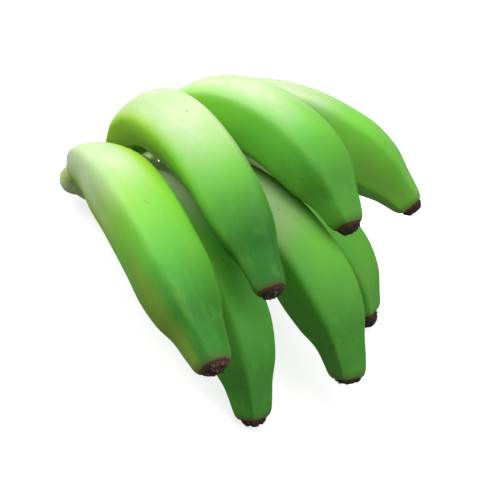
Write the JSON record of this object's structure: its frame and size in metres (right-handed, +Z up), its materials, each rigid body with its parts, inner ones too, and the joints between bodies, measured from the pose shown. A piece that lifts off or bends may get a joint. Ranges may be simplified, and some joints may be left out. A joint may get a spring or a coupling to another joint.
{
  "type": "hand of green bananas",
  "caption": "Hand of unripe green bananas in two rows on one cut crown, arched over and resting on the crown and two fingertips.",
  "frame": {"origin": "on the surface that the hand rests on, under the middle of its box", "axes": "+Z up, +X the way the fingers point from the crown, -Y the side that the picture shows"},
  "size_m": [0.216, 0.2326, 0.1268],
  "materials": {
    "green_skin": "smooth waxy green peel with a soft sheen",
    "dry_tip": "dry, dark brown and rough",
    "crown_tissue": "green fibrous stalk tissue with a pale cut face that browns at its rim"
  },
  "bodies": {
    "root": {"crown": "crown_tissue", "upper_1_finger": "green_skin", "upper_2_finger": "green_skin", "upper_3_finger": "green_skin", "upper_4_finger": "green_skin", "lower_1_finger": "green_skin", "lower_2_finger": "green_skin", "lower_3_finger": "green_skin", "upper_1_tip": "dry_tip", "upper_2_tip": "dry_tip", "upper_3_tip": "dry_tip", "upper_4_tip": "dry_tip", "lower_1_tip": "dry_tip", "lower_2_tip": "dry_tip", "lower_3_tip": "dry_tip"}
  },
  "joints": []
}
